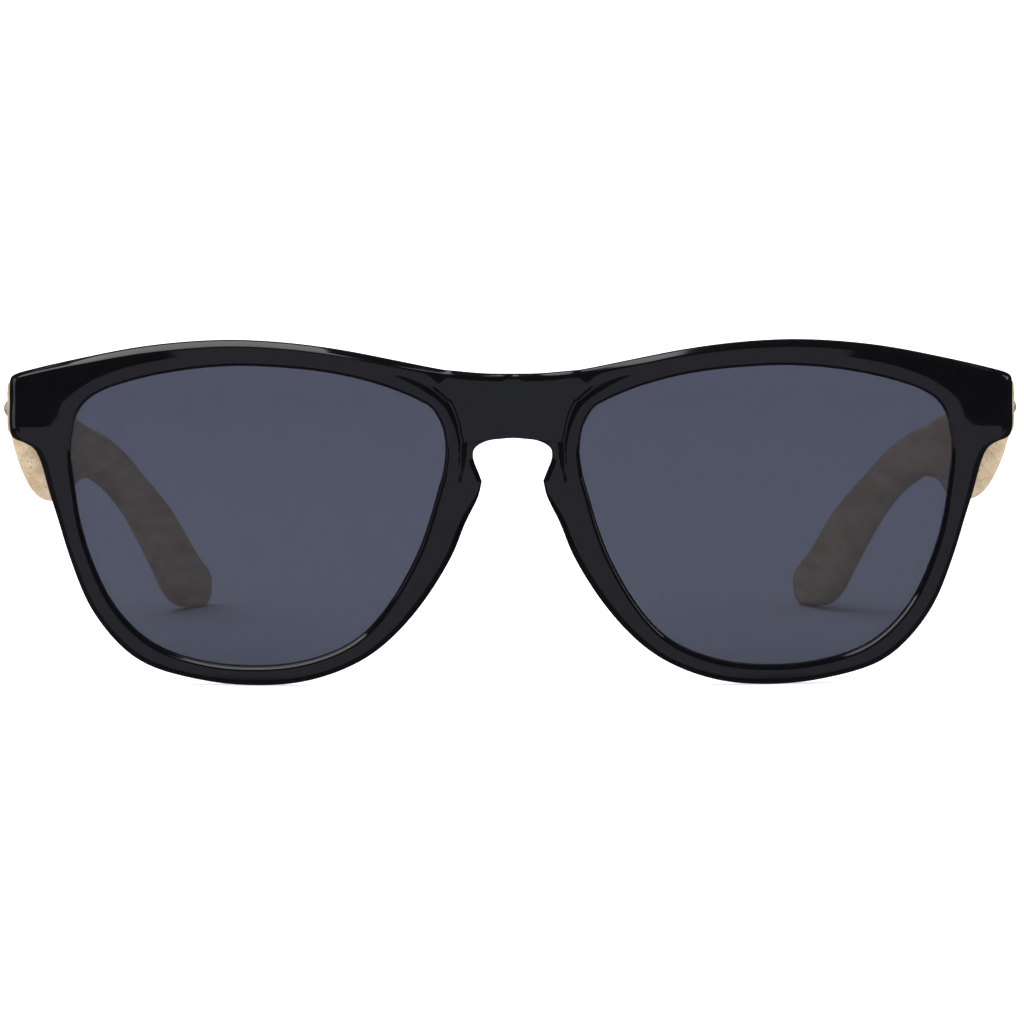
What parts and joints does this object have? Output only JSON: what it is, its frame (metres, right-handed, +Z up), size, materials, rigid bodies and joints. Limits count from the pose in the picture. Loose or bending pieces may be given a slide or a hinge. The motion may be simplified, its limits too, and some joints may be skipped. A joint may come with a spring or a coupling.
{
  "type": "sunglasses",
  "caption": "Full-rim sunglasses with a keyhole bridge, smoke lenses and wooden temples that fold on riveted spring hinges.",
  "frame": {"origin": "on the surface the open glasses stand on, midway between the two sides and midway from the front to the temple tips", "axes": "+X to the wearer's left, +Y from the front back along the temples, +Z up"},
  "size_m": [0.1498, 0.151, 0.0498],
  "materials": {
    "front_plastic": "polished black",
    "smoke_lens": "clear smoke tint with a slight blue cast",
    "temple_wood": "pale, fine grained, matt lacquer",
    "nickel": "nickel plated",
    "steel": "plain steel"
  },
  "bodies": {
    "front": {"front_frame": "front_plastic", "left_lens": "smoke_lens", "right_lens": "smoke_lens", "left_front_hinge": "nickel", "right_front_hinge": "nickel", "left_hinge_screw": "steel", "right_hinge_screw": "steel"},
    "left_hinge_rod": {"left_plunger": "steel", "left_collar": "nickel", "left_spring": "steel"},
    "right_hinge_rod": {"right_plunger": "steel", "right_collar": "nickel", "right_spring": "steel"},
    "left_arm": {"left_temple": "temple_wood", "left_spring_housing": "nickel", "left_guide_bush": "nickel", "left_rivet_front": "nickel", "left_rivet_rear": "nickel"},
    "right_arm": {"right_temple": "temple_wood", "right_spring_housing": "nickel", "right_guide_bush": "nickel", "right_rivet_front": "nickel", "right_rivet_rear": "nickel"}
  },
  "joints": [
    {"name": "left_fold", "type": "hinge", "parent": "front", "child": "left_hinge_rod", "pos_m": [0.0686, -0.05875, 0.03937], "axis": [0, 0, 1], "range_deg": [0, 85]},
    {"name": "left_flex", "type": "slide", "parent": "left_hinge_rod", "child": "left_arm", "axis": [-0.0785, 0.9969, 0], "range_m": [0, 0.0015], "stiffness_N_per_m": 1500, "deforming": ["left_spring"]},
    {"name": "right_fold", "type": "hinge", "parent": "front", "child": "right_hinge_rod", "pos_m": [-0.0686, -0.05875, 0.03937], "axis": [0, 0, -1], "range_deg": [0, 81]},
    {"name": "right_flex", "type": "slide", "parent": "right_hinge_rod", "child": "right_arm", "axis": [0.0785, 0.9969, 0], "range_m": [0, 0.0015], "stiffness_N_per_m": 1500, "deforming": ["right_spring"]}
  ]
}
